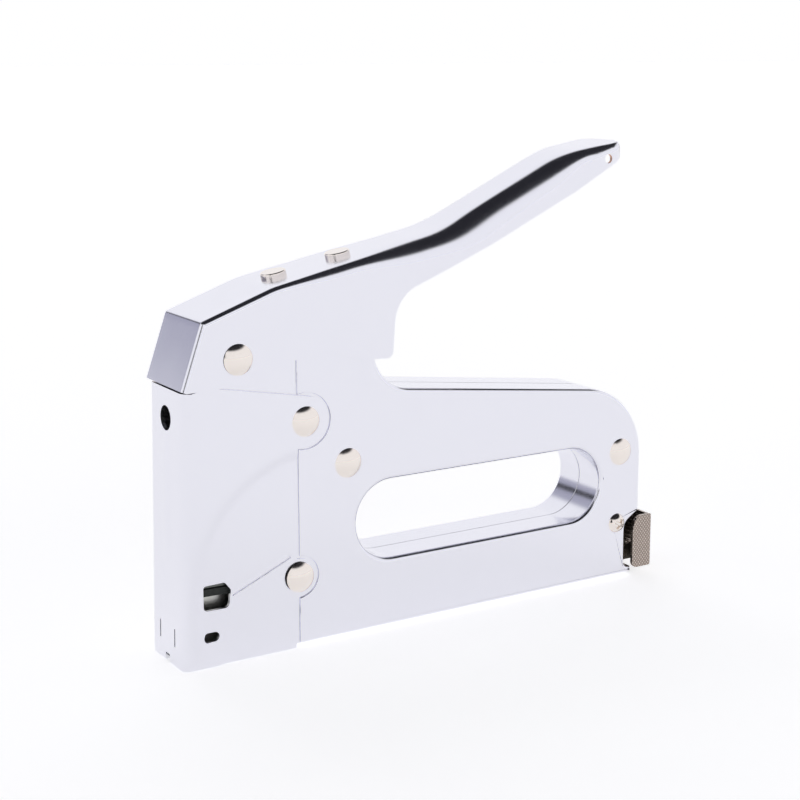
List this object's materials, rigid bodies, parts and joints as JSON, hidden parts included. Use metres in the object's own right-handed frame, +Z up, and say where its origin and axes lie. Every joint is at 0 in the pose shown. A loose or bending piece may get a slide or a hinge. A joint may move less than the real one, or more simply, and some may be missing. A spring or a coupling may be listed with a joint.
{
  "type": "hand staple gun",
  "caption": "Chromed sheet-steel hand staple gun with a squeeze handle, a finger hole and a rear-loading staple magazine.",
  "frame": {"origin": "middle of the tool's box at the foot of the nose", "axes": "+X to the rear latch, +Y to the right-hand shell, +Z up to the handle"},
  "size_m": [0.19, 0.0332, 0.1609],
  "materials": {
    "chrome_sheet": "bright chrome plate",
    "nickel": "nickel plate",
    "zinc_steel": "zinc plate",
    "hardened_steel": "oiled black steel",
    "spring_steel": "oiled spring wire",
    "bumper_rubber": "matt"
  },
  "bodies": {
    "frame": {"shell_right": "chrome_sheet", "shell_left": "chrome_sheet", "nose_cover": "chrome_sheet", "pivot_rivet": "nickel", "cover_rivets": "nickel", "body_rivets": "nickel", "rivet_spacers": "zinc_steel", "lever_spacers": "zinc_steel", "catch_post": "zinc_steel", "side_screws": "nickel", "spring_seat": "zinc_steel", "blade_guide": "zinc_steel", "bumper": "bumper_rubber", "magazine_channel": "zinc_steel", "main_spring": "spring_steel", "return_spring": "spring_steel"},
    "handle": {"handle": "chrome_sheet", "handle_rivets": "nickel", "handle_bracket": "zinc_steel", "push_pin": "zinc_steel", "push_roller": "zinc_steel"},
    "lever": {"lift_lever": "hardened_steel", "lever_bush": "zinc_steel"},
    "striker": {"hammer": "hardened_steel", "driver_blade": "hardened_steel"},
    "carriage": {"pusher_rod": "zinc_steel", "rod_block": "zinc_steel", "pusher_spring": "spring_steel"},
    "pusher": {"staple_pusher": "zinc_steel"},
    "latch": {"rear_latch": "nickel", "latch_pin": "nickel"}
  },
  "joints": [
    {"name": "handle_squeeze", "type": "hinge", "parent": "frame", "child": "handle", "pos_m": [-0.0746, 0, 0.0989], "axis": [0, 1, 0], "range_deg": [0, 22], "stiffness_Nm_per_rad": 1.2, "springref_deg": -34.38, "deforming": ["main_spring", "return_spring"]},
    {"name": "lever_lift", "type": "hinge", "parent": "frame", "child": "lever", "pos_m": [-0.0346, 0, 0.06], "axis": [0, 1, 0], "range_deg": [0, 19]},
    {"name": "striker_lift", "type": "slide", "parent": "frame", "child": "striker", "axis": [0.0227, 0, 0.9997], "range_m": [0, 0.015]},
    {"name": "magazine_slide", "type": "slide", "parent": "frame", "child": "carriage", "axis": [1, 0, 0], "range_m": [0, 0.12]},
    {"name": "pusher_slide", "type": "slide", "parent": "carriage", "child": "pusher", "axis": [1, 0, 0], "range_m": [0, 0.1], "stiffness_N_per_m": 20, "springref_m": -0.05, "deforming": ["pusher_spring"]},
    {"name": "latch_tilt", "type": "hinge", "parent": "carriage", "child": "latch", "pos_m": [0.0876, 0, 0.007], "axis": [0, 1, 0], "range_deg": [0, 12]}
  ],
  "couplings": [
    {"joint": "lever_lift", "follows": "handle_squeeze", "ratio": 0.84},
    {"joint": "striker_lift", "follows": "handle_squeeze", "m_per_rad": 0.036982}
  ]
}
